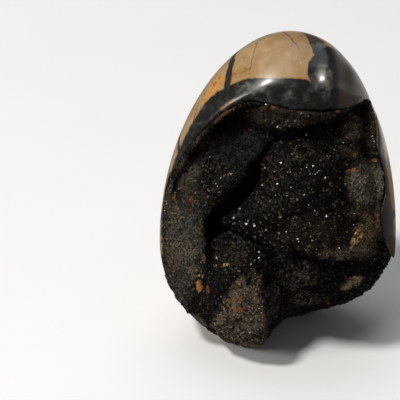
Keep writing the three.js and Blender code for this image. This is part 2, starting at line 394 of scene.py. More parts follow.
# The egg's surface.
def rimCurve():
    points = np.array(rim["points"], float)
    count = len(points)
    curve = []
    for k in range(rim["steps"]):
        t = k / rim["steps"] * count
        i, f = int(t), t - int(t)
        before, start, end, after = (points[(i + j) % count] for j in (-1, 0, 1, 2))
        leave = rim["tension"] * (end - before)
        arrive = rim["tension"] * (after - start)
        bend = -3 * start + 3 * end - 2 * leave - arrive
        twist = 2 * start - 2 * end + leave + arrive
        curve.append(start + leave * f + bend * f**2 + twist * f**3)
    return np.array(curve)


rimPoints = rimCurve()


def isInside(u, v, outline):
    # Whether places on the open face lie inside an outline.
    inside = np.zeros(len(u), bool)
    for a, b in zip(outline, np.roll(outline, -1, axis=0)):
        crosses = (a[1] > v) != (b[1] > v)
        edge = a[0] + (v - a[1]) / (b[1] - a[1] + 1e-12) * (b[0] - a[0])
        inside ^= crosses & (u < edge)
    return inside


def awayFrom(u, v, outline):
    # How far they are from its line.
    away = np.full(len(u), 1e9)
    for a, b in zip(outline, np.roll(outline, -1, axis=0)):
        run = b - a
        share = np.clip(((u - a[0]) * run[0] + (v - a[1]) * run[1]) / (run @ run + 1e-12), 0, 1)
        away = np.minimum(away, np.hypot(u - a[0] - share * run[0], v - a[1] - share * run[1]))
    return away


# How far the lip and the band sink the polish, and how far the ridge raises it.
def lipDrop(away):
    over = np.clip(1 - (away - lip["start"]) / lip["width"], 0, 1)
    return lip["depth"] * (1 - np.sqrt(1 - over**2))


def bandDrop(u, v, away):
    angle = np.degrees(np.arctan2(v - rim["pole"][1], u - rim["pole"][0]))
    nearTop = np.exp(-(((angle - band["top"]) / band["spread"]) ** 4))
    hairsBreadth = 0.01
    over = np.maximum(1 - away / (band["width"] * nearTop + hairsBreadth), 0)
    fold = band["fold"]
    return band["depth"] * nearTop * (np.hypot(over, fold) - fold) / (math.hypot(1, fold) - fold)


def ridgeRise(u, v):
    side = (u - ridge["place"][0]) / np.where(u < ridge["place"][0], *ridge["halfWidth"])
    along = (v - ridge["place"][1]) / ridge["halfLength"]
    return ridge["rise"] * np.exp(-(side**2) - along**4)


def plainEgg(directions):
    # The egg before anything is carved into it, its tip leaning.
    up = np.maximum(directions[:, 2], 0) ** 2
    reach = np.where(directions[:, 2] > 0, egg["topHeight"], egg["bottomHeight"])
    return np.column_stack((
        egg["halfWidth"] * directions[:, 0] + egg["lean"][0] * up - egg["middle"][0],
        egg["halfDepth"] * directions[:, 1] + egg["lean"][1] * up - egg["middle"][1],
        egg["beltHeight"] + directions[:, 2] * reach,
    ))


def carving(points):
    # How far the band, and then the ridge and the lip, bring the polish out of the plain egg along w.
    u, v, w = toFace(points).T
    away = np.where(isInside(u, v, rimPoints), 0, awayFrom(u, v, rimPoints))
    front = smoothstep(w, *carvedFront)
    return -front * bandDrop(u, v, away), front * (ridgeRise(u, v) - lipDrop(away))


def eggSurface(directions):
    points = plainEgg(directions)
    return points + np.outer(sum(carving(points)), outOfFace)


def unit(vectors):
    return vectors / np.linalg.norm(vectors, axis=1)[:, None]


def nearestOnEgg(points):
    # The places on the egg that lie nearest, found by a few corrections.
    directions = unit(points - faceCentre)
    for _ in range(stone["corrections"]):
        directions = unit(directions + (points - eggSurface(directions)) / stone["eggRadius"])
    return eggSurface(directions)


# The polished stone.
stone = {
    "clear": 4.0,  # how far the cutter's outer skin stands off the egg
    "skin": (0.7, 1.9),  # a CAD vertex this near the egg is of its skin, inside and outside the rim
    "outward": (43.2, 38.0, 70.0),  # half sizes of the plain form that says which way is outwards
    "wall": 0.8,  # a face turned this far out or more is skin and not the hollow's wall
    "cutBelow": 3.0,  # how far the cutter reaches below the flat spot
    "corrections": 12,
    "eggRadius": 60.0,
    "evening": 30,  # passes that soften the creases of the band
    "fineBorder": 14.0,  # the egg's mesh is finer this near the rim
    # Middles of the limestone panels, with a vein of calcite halfway between any two.
    "seeds": (
        (0, -5, 113), (-35.4, 4.3, 99.5), (24.2, 2.9, 107.3), (2, 36, 96), (-46, 10, 62), (-24, 40, 62),
        (21, 41, 64), (46, 12, 70), (44, 8, 32), (0, 40, 26), (-38, 18, 24), (-44, -22, 40),
        (-8, 2, -12), (34, -24, 20),
    ),
}


def eggCutter():
    # The CAD stone with its outer skin moved outwards, so that a fine egg can take its place.
    # At the edge of the hollow the skin moves along the hollow's wall.
    bm = mergedCopy("nodule")
    bm.normal_update()
    points = np.array([v.co for v in bm.verts])
    onFlatSpot = points[:, 2] <= 0.05
    gap = np.linalg.norm(nearestOnEgg(points) - points, axis=1)
    u, v, w = toFace(points).T
    isSkin = (gap < np.where(isInside(u, v, rimPoints) & (w > 0), *stone["skin"])) & ~onFlatSpot
    outward = unit((points - faceCentre) / np.array(stone["outward"]) ** 2)
    speck, shortest, steepest = 1e-4, 0.05, 0.3
    for vert, skin, out in zip(bm.verts, isSkin, outward):
        if not skin:
            continue
        out = Vector(out)
        walls = [f for f in vert.link_faces if f.normal.dot(out) < stone["wall"] and f.calc_area() > speck]
        onWall = [f for f in walls if not all(isSkin[v.index] for v in f.verts)]
        push = out.copy()
        if onWall:
            wall = sum((f.normal * f.calc_area() for f in onWall), Vector()).normalized()
            along = out - wall * out.dot(wall)
            push = along.normalized() if along.length > shortest else out
        vert.co += push * stone["clear"] / max(push.dot(out), steepest)
    for vert, isFlat in zip(bm.verts, onFlatSpot):
        if isFlat:
            vert.co.z = -stone["cutBelow"]
    return bm


def unitSphere():
    bm = bmesh.new()
    bmesh.ops.create_icosphere(bm, subdivisions=egg["fineness"], radius=1)
    directions = np.array([v.co for v in bm.verts])
    u, v, w = toFace(plainEgg(directions)).T
    isNear = (awayFrom(u, v, rimPoints) < stone["fineBorder"]) & (w > 0)
    edges = [e for e in bm.edges if all(isNear[v.index] for v in e.verts)]
    bmesh.ops.subdivide_edges(bm, edges=edges, cuts=1, use_grid_fill=True)
    bmesh.ops.triangulate(bm, faces=bm.faces)
    return bm


def makeStone():
    bm = unitSphere()
    mesh = bpy.data.meshes.new("egg")
    bm.to_mesh(mesh)
    directions = placesOf(mesh)
    points = plainEgg(directions / np.linalg.norm(directions, axis=1)[:, None])
    creased, smooth = carving(points)
    rise = evened(mesh, creased, stone["evening"]) + smooth
    setPlaces(mesh, points + np.outer(rise, outOfFace))
    bm.clear()
    bm.from_mesh(mesh)
    everything = bm.verts[:] + bm.edges[:] + bm.faces[:]
    down = (0, 0, -1)
    cut = bmesh.ops.bisect_plane(bm, geom=everything, plane_co=(0, 0, 0), plane_no=down, clear_outer=True)
    bmesh.ops.edgenet_fill(bm, edges=[e for e in cut["geom_cut"] if isinstance(e, bmesh.types.BMEdge)])
    bmesh.ops.recalc_face_normals(bm, faces=bm.faces)
    bm.to_mesh(mesh)
    whole = meshObject("wholeEgg", mesh)
    eggTree = BVHTree.FromBMesh(bm)

    cutterMesh = bpy.data.meshes.new("cutter")
    eggCutter().to_mesh(cutterMesh)
    cutter = meshObject("cutter", cutterMesh)
    cut = whole.modifiers.new("hollow", "BOOLEAN")
    cut.operation = "INTERSECT"
    cut.solver = "MANIFOLD"
    cut.object = cutter
    mesh = settled(whole, "polished_stone")
    bpy.data.objects.remove(cutter)
    return meshObject("polished_stone", mesh), eggTree


# Where the black calcite that lines the hollow meets the limestone on the polished front.
calcite = {
    "outline": (
        (-43, -12), (-41.5, -1.4), (-41.3, 5.9), (-40.7, 13.1), (-40, 18.5), (-38.9, 25), (-37.1, 30),
        (-35.3, 33.9), (-33.1, 38.9), (-30.6, 43.5), (-28.4, 46.7), (-26.3, 49.9), (-24.5, 51.6),
        (-22.4, 53.3), (-20.3, 54.3), (-18.5, 55.4), (-16.8, 56), (-14.3, 57), (-11.1, 57.8), (-6.6, 57.9),
        (-2, 57.8), (0.8, 57.7), (6.8, 57.5), (8.9, 57.4), (10.6, 56.5), (9.6, 58.6), (9.5, 60.8),
        (10, 63.3), (11.2, 65.1), (12.4, 66.6), (12.4, 68.8), (12.3, 70.7), (11.5, 72.6), (10, 74.8),
        (8.8, 77), (11, 76.9), (13, 73.8), (15, 71.6), (16.4, 69.8), (19, 68.4), (23.5, 68), (28, 63.5),
        (31.5, 58), (34, 52), (35.3, 46), (36, 40), (37.5, 33), (38.4, 25.8), (39.6, 18.5), (40.9, 11.4),
        (41.9, 4.2), (42, -3), (41, -12),
    ),
    "brownOutline": (
        (19.3, 69), (18.9, 67.2), (19.8, 63.9), (20.4, 60.3), (20.7, 55.6), (20.6, 50.9), (20.2, 46.3),
        (25, 38), (25, -14), (60, -14), (60, 90), (5, 90), (5, 71.5), (12, 70.6), (16.5, 69.4),
    ),
    "front": 8.0,  # below this height w the calcite fades out, so that the back keeps its own veins
    "fade": 0.8,
    "foot": -12.0,
    "brownFront": 2.0,
    "edgeWidth": (1.2, 1.6),  # elsewhere the lining shows as a band this wide at the left and at the right
    "edgeTurn": (-20, 10),  # where its width goes over from the one to the other
}


def insideOf(u, v, outline):
    # Signed millimetres from an outline, positive inside it.
    outline = np.array(outline, float)
    return awayFrom(u, v, outline) * np.where(isInside(u, v, outline), 1, -1)


def calciteReach(mesh, crustTree):
    # Signed millimetres from the border of the black calcite, positive inside it, at each vertex.
    places = placesOf(mesh)
    u, v, w = toFace(places).T
    flat = np.minimum(insideOf(u, v, calcite["outline"]), (w - calcite["front"]) * calcite["fade"])
    flat = np.minimum(flat, v - calcite["foot"])
    spacing = np.array([crustTree.find_nearest(p)[3] for p in places])
    left, right = calcite["edgeWidth"]
    return np.maximum(flat, left + (right - left) * smoothstep(u, *calcite["edgeTurn"]) - spacing)


def brownReach(mesh):
    # The same for the brown calcite at the right.
    u, v, w = toFace(placesOf(mesh)).T
    return np.minimum(insideOf(u, v, calcite["brownOutline"]), w - calcite["brownFront"])


# Cracks in the limestone on the front: places along each, and how wide it is at its start and its end.
hairlines = (
    ((1.2, 75), (3.2, 73.3), (4.6, 71.3), (6.8, 68.5), (0.46, 0.2)),
    ((-7.8, 71.3), (-9.3, 67.5), (-10, 64.5), (-10.8, 60.9), (0.14, 0.18)),
    ((-29.5, 47.5), (-30.4, 45), (-30.6, 42), (0.24, 0.16)),
)
brownLine = ((19.9, 65.8), (23, 60.4), (27.8, 54.8), (31.5, 50.5), (0.12, 0.3))  # one in the brown calcite
# Paler clouds in the black calcite, partly its own and partly painted reflection: the two by the ridge
# paint the glow round its highlight, the narrow one above it a sky reflection; middle, half size, strength.
cloudsAndSheen = (
    ((15, 57), (4.5, 7), 0.5), ((15.8, 59), (2.6, 3.6), 0.8), ((14, 69.8), (3.8, 1.1), 0.8),
    ((3.5, 51.5), (3, 2.2), 0.4), ((-11, 54.5), (6, 3), 0.6), ((-6, 55), (3, 3), 0.3),
)
# Iron in the limestone, and on the lip: the two ends of each.
goldPatch = ((-26.2, 50), (-21.6, 58))
tanPatch = ((-16.8, 58.8), (-11.8, 60.6))
warmLip = ((-20.8, 47.2), (-16.2, 50.6))
darkFoot = ((38.5, 5), (3.2, 11))  # darker calcite low on the strip at the right, painted shade against its pale reflection
wornEnds = (((41, -6), (6, 8.5)), ((-26, -31), (8, 6)))  # where the polish fades out
limestone = {
    "ground": (165, 136, 97), "brown": (152, 120, 78), "pale": (178, 155, 124), "grain": (132, 100, 64),
    "rustSpot": (118, 76, 34), "paleSpot": (212, 196, 166), "rust": (140, 88, 40),
    "gold": (196, 132, 52), "darkGold": (112, 66, 26), "tan": (134, 86, 38),
    "border": (98, 70, 42), "web": (104, 76, 48), "crack": (48, 32, 22),
}
calciteTints = {
    "black": (18, 16, 15), "cloud": (72, 70, 66), "vein": (44, 33, 26), "cloudAndSheen": (112, 110, 104),
    "brown": (56, 42, 30), "paleBrown": (68, 53, 39), "brownSpot": (92, 80, 66), "line": (24, 20, 17),
    "foot": (32, 25, 20), "warm": (140, 100, 60), "worn": (30, 23, 19), "wornGrain": (88, 72, 56),
}
polish = {
    "roughness": 0.26,
    "specular": 0.4,
    "coat": 0.34,
    "coatRoughness": 0.17,
    "grain": (0.1, 0.00012),  # strength and depth of the bump
    "seamWidth": (0.8, 3.2),  # least width of a vein, and what the noise adds to it
}


def polishedFinish():
    r = Recipe("polished_septarian")
    lime = {name: shade(*tint) for name, tint in limestone.items()}
    dim = {name: shade(*tint) for name, tint in calciteTints.items()}
    place = partPlace(r)
    face = facePlace(r, place)
    wobbly = r.warped(r.warped(place, 9.0, 2.4), 1.6, 0.7)
    nearest = second = None
    for seed in stone["seeds"]:
        away = r.distance(wobbly, seed)
        if nearest is None:
            nearest, second = away, away + 1000
            continue
        second = second.least(nearest.most(away))
        nearest = nearest.least(away)
    apart = second - nearest
    broad = r.noise(place, 14.0)
    middling = r.noise(place, 4.5, 4.0, 0.6)
    fine = r.noise(place, 0.9, 5.0, 0.65)
    reach = r.node("ShaderNodeAttribute", {"attribute_name": "calcite"}, {}, "Fac")
    ragged = reach + (r.noise(place, 2.4, 4.0) - 0.5) * 1.1
    inCalcite = ragged.ramp(-0.15, 0.15)
    narrowest, added = polish["seamWidth"]
    fromSeam = apart - (narrowest + broad * added)
    dark = inCalcite.most(1 - fromSeam.ramp(-0.1, 0.2))
    brown = r.node("ShaderNodeAttribute", {"attribute_name": "brown"}, {}, "Fac").ramp(-0.3, 0.3)

    # Limestone.
    pale = r.mixed(lime["ground"], lime["brown"], broad.ramp(0.35, 0.65))
    pale = r.mixed(pale, lime["pale"], middling.ramp(0.45, 0.75) * 0.6)
    pale = r.mixed(pale, lime["grain"], fine.ramp(0.5, 0.8) * 0.5)
    pale = r.mixed(pale, lime["rustSpot"], r.scattered(place, 5.3, 0.1) * 0.7)
    pale = r.mixed(pale, lime["paleSpot"], r.scattered(r.warped(place, 3.0, 3.0), 4.1, 0.13) * 0.55)
    pale = r.mixed(pale, lime["rust"], (1 - fromSeam.ramp(0.3, 3.2)) * middling.ramp(0.5, 0.6) * 0.6)
    streaks = r.noise(r.warped(face, 2.6, 2.2), 1.5, 4.0, 0.6)
    gold = r.stripe(face, goldPatch, 0.8, 2.6)
    pale = r.mixed(pale, lime["gold"], gold * streaks.ramp(0.36, 0.52) * 0.85)
    pale = r.mixed(pale, lime["darkGold"], gold * streaks.ramp(0.52, 0.64) * 0.8)
    tan = r.stripe(face, tanPatch, 0.5, 2.0)
    pale = r.mixed(pale, lime["tan"], tan * streaks.ramp(0.38, 0.62) * 0.75)
    pale = r.mixed(pale, lime["border"], ragged.ramp(-0.6, -0.1) * 0.5)
    web = 1 - r.cells(r.warped(place, 6.0, 5.0), 17.0).ramp(0.03, 0.16)
    pale = r.mixed(pale, lime["web"], web * r.noise(place, 11.0).ramp(0.54, 0.6) * 0.7)
    bent = r.warped(face, 1.6, 0.7)
    for *places, (wide, narrow) in hairlines:
        pale = r.mixed(pale, lime["crack"], r.crack(bent, places, wide, narrow) * 0.7)

    # Calcite.
    cloud = r.noise(r.warped(place, 4.0, 3.0), 2.6, 6.0, 0.62)
    black = r.mixed(dim["black"], dim["cloud"], cloud.ramp(0.44, 0.85))
    black = r.mixed(black, dim["vein"], (1 - inCalcite) * 0.7)
    brownCalcite = r.mixed(dim["brown"], dim["paleBrown"], broad.ramp(0.3, 0.7))
    brownCalcite = r.mixed(brownCalcite, dim["brownSpot"], r.scattered(place, 6.3, 0.12) * 0.6)
    *places, (wide, narrow) = brownLine
    brownCalcite = r.mixed(brownCalcite, dim["line"], r.crack(bent, places, wide, narrow) * 0.7)
    black = r.mixed(black, brownCalcite, brown)
    # Painted shade: the polished strip at the right is darkened low down.
    black = r.mixed(black, dim["foot"], r.patch(bent, 0.5, 1.1, *darkFoot) * 0.8)
    warm = r.stripe(face, warmLip, 0.1, 1.0)
    black = r.mixed(black, dim["warm"], warm * cloud.ramp(0.3, 0.5) * 0.7)
    # Painted reflection in part: paler clouds that stand for the glow round the ridge's highlight and the
    # sky.
    for middle, half, strength in cloudsAndSheen:
        shown = r.patch(bent, 0.3, 1.2, middle, half) * cloud.ramp(0.35, 0.65) * strength
        black = r.mixed(black, dim["cloudAndSheen"], shown)

    colour = r.mixed(pale, black, dark)
    height = r.node("ShaderNodeSeparateXYZ", {}, {"Vector": face}, "Z")
    worn = r.patches(bent, 0.7, 1.1, wornEnds) * height.ramp(-10, -3)
    colour = r.mixed(colour, r.mixed(dim["worn"], dim["wornGrain"], fine.ramp(0.42, 0.6)), worn * 0.95)
    rough = polish["roughness"] + fine * 0.08 + cloud * dark * 0.08 + worn * 0.45
    grain = r.bump(fine * (1 - dark * 0.6 + worn * 6) + cloud * dark * 0.5, *polish["grain"])
    return r.finish({
        "Base Color": colour, "Roughness": rough, "Specular IOR Level": polish["specular"], "Normal": grain,
        "Coat Weight": polish["coat"] - worn * polish["coat"], "Coat Roughness": polish["coatRoughness"],
    })


# The druse crust.
crust = {
    "voxel": 0.65,
    "smoothing": (0.5, 2),  # factor and passes
    "lumps": ((5.0, 0.55), (2.2, 0.32), (1.1, 0.2)),  # size and height of the swellings
    "covered": (0.35, 1.0),  # clearances from the stone between which the crust comes free
    "border": 0.35,  # how rough its edge in front of the stone is, as a share of the rest
    "footing": 0.25,  # height of its lowest parts above the floor
    # Where two blocks of it run into each other: middle, half size, passes of smoothing.
    "meetings": (((-27.5, -18), (6.5, 17), 150), ((34.5, 18.5), (4.5, 11), 150)),
}


def makeCrust(stoneTree, eggTree):
    # The CAD crust as an even mesh, roughened where it stands free of the stone.
    bm = mergedCopy("druse")
    mesh = bpy.data.meshes.new("crust")
    bm.to_mesh(mesh)
    rough = meshObject("crust", mesh)
    remesh = rough.modifiers.new("even", "REMESH")
    remesh.mode = "VOXEL"
    remesh.voxel_size = crust["voxel"]
    soften = rough.modifiers.new("soften", "SMOOTH")
    soften.factor, soften.iterations = crust["smoothing"]
    mesh = settled(rough, "druse_crust")
    places, normals = placesOf(mesh), normalsOf(mesh)
    spacing = np.array([stoneTree.find_nearest(p)[3] for p in places])
    out = Vector(outOfFace)
    clear = out * 0.05
    isOpen = np.array([stoneTree.ray_cast(Vector(p) + clear, out)[0] is None for p in places])
    exposed = np.maximum(smoothstep(spacing, *crust["covered"]), isOpen * crust["border"])
    height = np.zeros(len(places))
    for size, tall in crust["lumps"]:
        height += tall * np.array([noise.noise(p / size) for p in places])
    u, v, _ = toFace(places).T
    for middle, half, passes in crust["meetings"]:
        share = 1 - smoothstep(np.hypot((u - middle[0]) / half[0], (v - middle[1]) / half[1]), 0.5, 1)
        soft = np.column_stack([evened(mesh, axis, passes) for axis in places.T])
        places += (soft - places) * share[:, None]
    places += normals * (height * exposed)[:, None]
    places[:, 2] = np.maximum(places[:, 2], crust["footing"])
    setPlaces(mesh, places)
    above = [eggTree.ray_cast(p, out)[3] or 0 for p in places]
    setAttribute(mesh, "exposed", exposed)
    setAttribute(mesh, "sunk", above)
    return meshObject("druse_crust", mesh)


# Tinted fields of the druse on the open face, its own colours and in part painted light: several lighten
# places that lie in shade as painted fill light, and those that favour the palest crystals paint sparkle
# there; middle, half size, turn, colour, how much it shows and how far only the palest crystals show it.
tintsAndFillLight = (
    ((-34, -5), (9, 25), -8, (62, 58, 51), 0.95, 0.55),
    ((-39.5, 12), (3.5, 13), 6, (68, 60, 52), 0.9, 0),
    ((-37.5, -7), (3.5, 5), 0, (72, 56, 42), 0.7, 0),
    ((-37, -15), (3, 4), 0, (34, 32, 30), 0.7, 0),
    ((-33, 24), (5, 7), -10, (66, 58, 50), 0.9, 0),
    ((-31.5, 16.5), (6, 3), 0, (42, 30, 25), 0.6, 0),
    ((-31, 12.5), (4, 4), 0, (44, 33, 27), 0.6, 0),
    ((-29, 37), (5, 5), 40, (60, 46, 40), 0.8, 0),
    ((-19, 22), (6, 4), 20, (28, 26, 22), 0.8, 0),
    ((4, 44.5), (17, 4), 0, (48, 40, 34), 0.9, 0),
    ((-3, 45), (7, 3), 0, (52, 43, 35), 0.7, 0),
    ((27, 41), (6, 5), 0, (84, 72, 62), 0.9, 0),
    ((34, 41), (5, 12), 0, (50, 41, 35), 0.8, 0),
    ((31, 21), (8.5, 9), 0, (120, 110, 96), 0.95, 0.2),
    ((33, 6), (5, 10), -10, (84, 70, 58), 0.8, 0.3),
    ((12, 3), (17, 8), 0, (40, 32, 25), 0.7, 0),
    ((23, -4), (11, 2.4), 0, (104, 90, 78), 0.9, 0.8),
    ((-16, -6), (9, 6), 0, (32, 27, 21), 0.8, 0),
    ((-26, -20), (4.5, 10), -22, (30, 23, 21), 0.95, 0),
    ((-2, -22), (4, 9), 0, (74, 64, 66), 0.9, 0.8),
    ((-1.5, -4.5), (5, 4), 0, (96, 88, 84), 0.8, 0.9),
    ((6.5, -12), (9, 6), 0, (112, 104, 96), 0.65, 0.9),
    ((11, -21.5), (9, 3), 0, (96, 84, 76), 0.7, 0.9),
    ((27.5, -15), (3.6, 2.4), 10, (150, 130, 104), 0.9, 0.9),
)
# The pale facet at the foot of the block in front, its own frosted grey lightened further as painted light
# for a face that catches the lamp; its corners counter-clockwise.
paleLitFacet = (
    (-14.5, -12.5), (-17.7, -17), (-22, -24.4), (-25, -31), (-16, -42), (-5, -42), (-4.6, -21), (-6.3, -12),
    (-9, -10.5),
)
# Where the crystals are small, dull and painted dark as shade (the bowl under the upper lip and the dark
# facet low at the left), and where they are dull only: middle, half size, turn.
quietShade = (((-13, 36), (13, 11), 15), ((-23, -17), (3.6, 9), -16))
dull = (((-35, -3), (8, 25), -8), ((-33, 26), (6, 8), -10))
# Finer patches of pale and golden grains: middle, half size, turn, colour, strength.
grainPatches = (
    ((27.3, 1.5), (2.4, 5.4), -28, (204, 172, 120), 0.95), ((30.8, 9), (1.4, 2), 30, (150, 128, 90), 0.85),
    ((-33.5, -3), (6, 6), 0, (128, 112, 88), 0.25), ((-30, -11), (2, 4), 0, (120, 102, 84), 0.5),
    ((29.5, -1.8), (1.2, 1.2), 0, (150, 96, 52), 0.7), ((31.5, 3.5), (4.5, 8), -20, (120, 98, 66), 0.7),
    ((25.5, -16.8), (2, 1.8), 0, (168, 150, 116), 0.9), ((29, -14.5), (3, 1.8), 20, (160, 140, 108), 0.9),
    ((-12, -20), (5, 4), 0, (96, 80, 62), 0.5), ((-8, -30), (5, 5), 0, (92, 84, 72), 0.5),
    ((26, 32), (5, 3), 0, (66, 58, 44), 0.7), ((6.5, 30.5), (2.5, 1.6), 0, (70, 64, 52), 0.6),
    ((-34, -3), (7, 24), -8, (112, 106, 96), 0.16), ((23, -3), (10, 2.6), 0, (128, 110, 90), 0.2),
    ((28.5, 10.5), (5.5, 3.4), 0, (124, 106, 80), 0.35), ((32, -2.4), (4.5, 3), 0, (104, 88, 72), 0.45),
)
# Limonite spots: place, half size, colour, strength.
rustSpots = (
    ((-28.9, -16.0), (1.2, 2.3), (190, 128, 62), 0.85), ((-27.6, -12.4), (0.8, 0.7), (180, 138, 88), 0.7),
    ((-27.2, -6.0), (0.8, 1.8), (150, 104, 66), 0.6), ((-25.6, -17.5), (0.6, 1.4), (150, 110, 70), 0.5),
    ((-38, 16.4), (0.9, 1.5), (140, 100, 62), 0.6), ((-31.7, 15.3), (0.8, 1.3), (120, 74, 40), 0.4),
    ((26.2, 25.6), (1.0, 0.9), (186, 120, 54), 0.9), ((24, 25.3), (1.0, 0.7), (150, 100, 56), 0.6),
    ((26.6, 31), (0.7, 0.8), (150, 96, 50), 0.6), ((34.1, 29.2), (0.7, 0.6), (168, 136, 88), 0.7),
    ((-15.6, -20.6), (2.6, 1.8), (112, 76, 56), 0.5), ((-14.8, -24.4), (2.4, 1.0), (130, 76, 52), 0.5),
    ((-19.9, -8.3), (0.6, 0.6), (190, 170, 120), 0.6), ((-18.5, -8.3), (0.6, 0.6), (206, 164, 78), 0.7),
    ((-10.6, 39.9), (0.7, 0.6), (120, 84, 56), 0.5), ((-6.3, 47.1), (1.2, 0.7), (120, 84, 60), 0.5),
    ((-2.4, 47.8), (1.6, 0.9), (130, 94, 70), 0.6), ((19.9, 46.8), (1.5, 0.9), (140, 100, 72), 0.6),
    ((19, -23.4), (1.0, 0.5), (150, 90, 50), 0.5),
)
# The rusty edge of the crust along the lip at the upper left.
rustyEdge = ((-22.3, 43.6), (-18.5, 46.8), (-14.8, 49.2), (1.4, 0.8))


druse = {
    "ground": (9, 8, 7), "brown": (18, 16, 13), "deep": (3, 3, 6), "facet": (114, 99, 82), "quietShade": (5, 5, 6),
    "speckle": (8, 7, 6), "darkest": (7, 6, 6), "palest": (128, 114, 92), "rust": (76, 48, 36),
}
druseGloss = {
    "specular": 0.14,
    "crystal": 0.1,  # roughness of the crystals and of the crust between them
    "crust": 0.4,
    "bumps": (0.06, 0.6),  # strength on the crystals and on the crust
    "bumpDepth": 0.0003,
}


def druseFinish(name, isCrystal):
    # The crust and its crystals share their fields of colour and painted fill light, and each crystal has a
    # tone of its own.
    r = Recipe(name)
    tint = {name: shade(*colour) for name, colour in druse.items()}
    place = partPlace(r)
    face = facePlace(r, place)
    drift = r.warped(r.warped(face, 7.0, 5.0), 1.8, 1.2)
    sunk = r.node("ShaderNodeAttribute", {"attribute_name": "sunk"}, {}, "Fac")
    grit = r.noise(place, 0.55, 3.0, 0.7)
    clumps = r.noise(place, 3.0, 4.0, 0.6)
    stillShade = r.patches(drift, 0.6, 1.1, quietShade)
    matt = r.patches(drift, 0.7, 1.1, dull).most(stillShade)
    tone = r.node("ShaderNodeAttribute", {"attribute_name": "tone"}, {}, "Fac") if isCrystal else None

    colour = r.mixed(tint["ground"], tint["brown"], clumps.ramp(0.35, 0.7))
    # Painted shade: the crust turns darker and bluish the deeper it lies under the egg's surface.
    colour = r.mixed(colour, tint["deep"], (sunk + clumps * 8).ramp(15, 30) * 0.7)
    # Painted light in part: fields lighten places in shade, and on the crystals they favour the palest,
    # painting sparkle.
    for middle, half, turn, tintAndFill, amount, sparklePick in tintsAndFillLight:
        shown = r.patch(drift, 0.6, 1.1, middle, half, turn) * (0.5 + clumps * 0.9)
        shown = shown * (tone.ramp(0.4, 1.0) * (1.6 * sparklePick) + (1 - sparklePick) if isCrystal else 1 - sparklePick * 0.8)
        colour = r.mixed(colour, shade(*tintAndFill), shown * amount)
    # The pale facet: its frosted grey, lightened further as painted light.
    inFacet = r.facet(r.warped(face, 2.5, 1.2), paleLitFacet).ramp(-1.2, 1.6)
    uneven = clumps.ramp(0.3, 0.65) * (tone.ramp(0.1, 0.9) * 0.85 + 0.25 if isCrystal else 0.55)
    colour = r.mixed(colour, tint["facet"], inFacet * uneven)
    # Painted shade: the quiet places are darkened where they lie in shadow.
    colour = r.mixed(colour, tint["quietShade"], stillShade * 0.5)
    colour = r.mixed(colour, tint["speckle"], r.noise(place, 0.9, 2.0).ramp(0.5, 0.75) * 0.5)
    if isCrystal:
        colour = r.mixed(colour, tint["darkest"], (1 - tone.ramp(0.0, 0.6)) * 0.75)
        colour = r.mixed(colour, tint["palest"], tone.ramp(0.8, 1.0) * (0.3 - stillShade * 0.25))
    grains = r.noise(place, 0.8, 2.0).ramp(0.42, 0.58)
    for middle, half, turn, patchTint, amount in grainPatches:
        shown = r.patch(drift, 0.5, 1.1, middle, half, turn) * grains * amount
        colour = r.mixed(colour, shade(*patchTint), shown)
    wander = r.warped(face, 1.6, 2.0)
    for middle, half, spotTint, amount in rustSpots:
        shown = r.patch(wander, 0.5, 1.2, middle, half) * grit.ramp(0.3, 0.5) * amount
        colour = r.mixed(colour, shade(*spotTint), shown)
    *places, (wide, narrow) = rustyEdge
    edge = r.crack(wander, places, wide, narrow) * grit.ramp(0.25, 0.5)
    colour = r.mixed(colour, tint["rust"], edge * 0.9)

    crystalBump, crustBump = druseGloss["bumps"]
    relief = r.bump(grit, crystalBump if isCrystal else crustBump, druseGloss["bumpDepth"])
    if isCrystal:
        rough = druseGloss["crystal"] + grit * 0.12 + sunk.ramp(8, 16) * 0.3 + matt * 0.22 + stillShade * 0.18
    else:
        rough = druseGloss["crust"] + grit * 0.3
    return r.finish({
        "Base Color": colour, "Roughness": rough, "Normal": relief,
        "Specular IOR Level": druseGloss["specular"],
    })


# The fine crystals.
crystals = {
    "cube": 0.7,
    "onCorner": math.atan(math.sqrt(0.5)),  # turns a corner of the cube upwards
    "density": 12.0,
    "spacing": 0.5,  # least distance between two crystals
    "size": (0.4, 1.15),
    "rarity": 2.5,  # how much rarer the large ones are
    "tilt": 0.75,
    "seed": 5,
    "sizeSeed": 3,
    "tiltSeed": 8,
    "toneSeed": 21,
    "split": (-6, 8),  # where on the open face their four bays meet
}


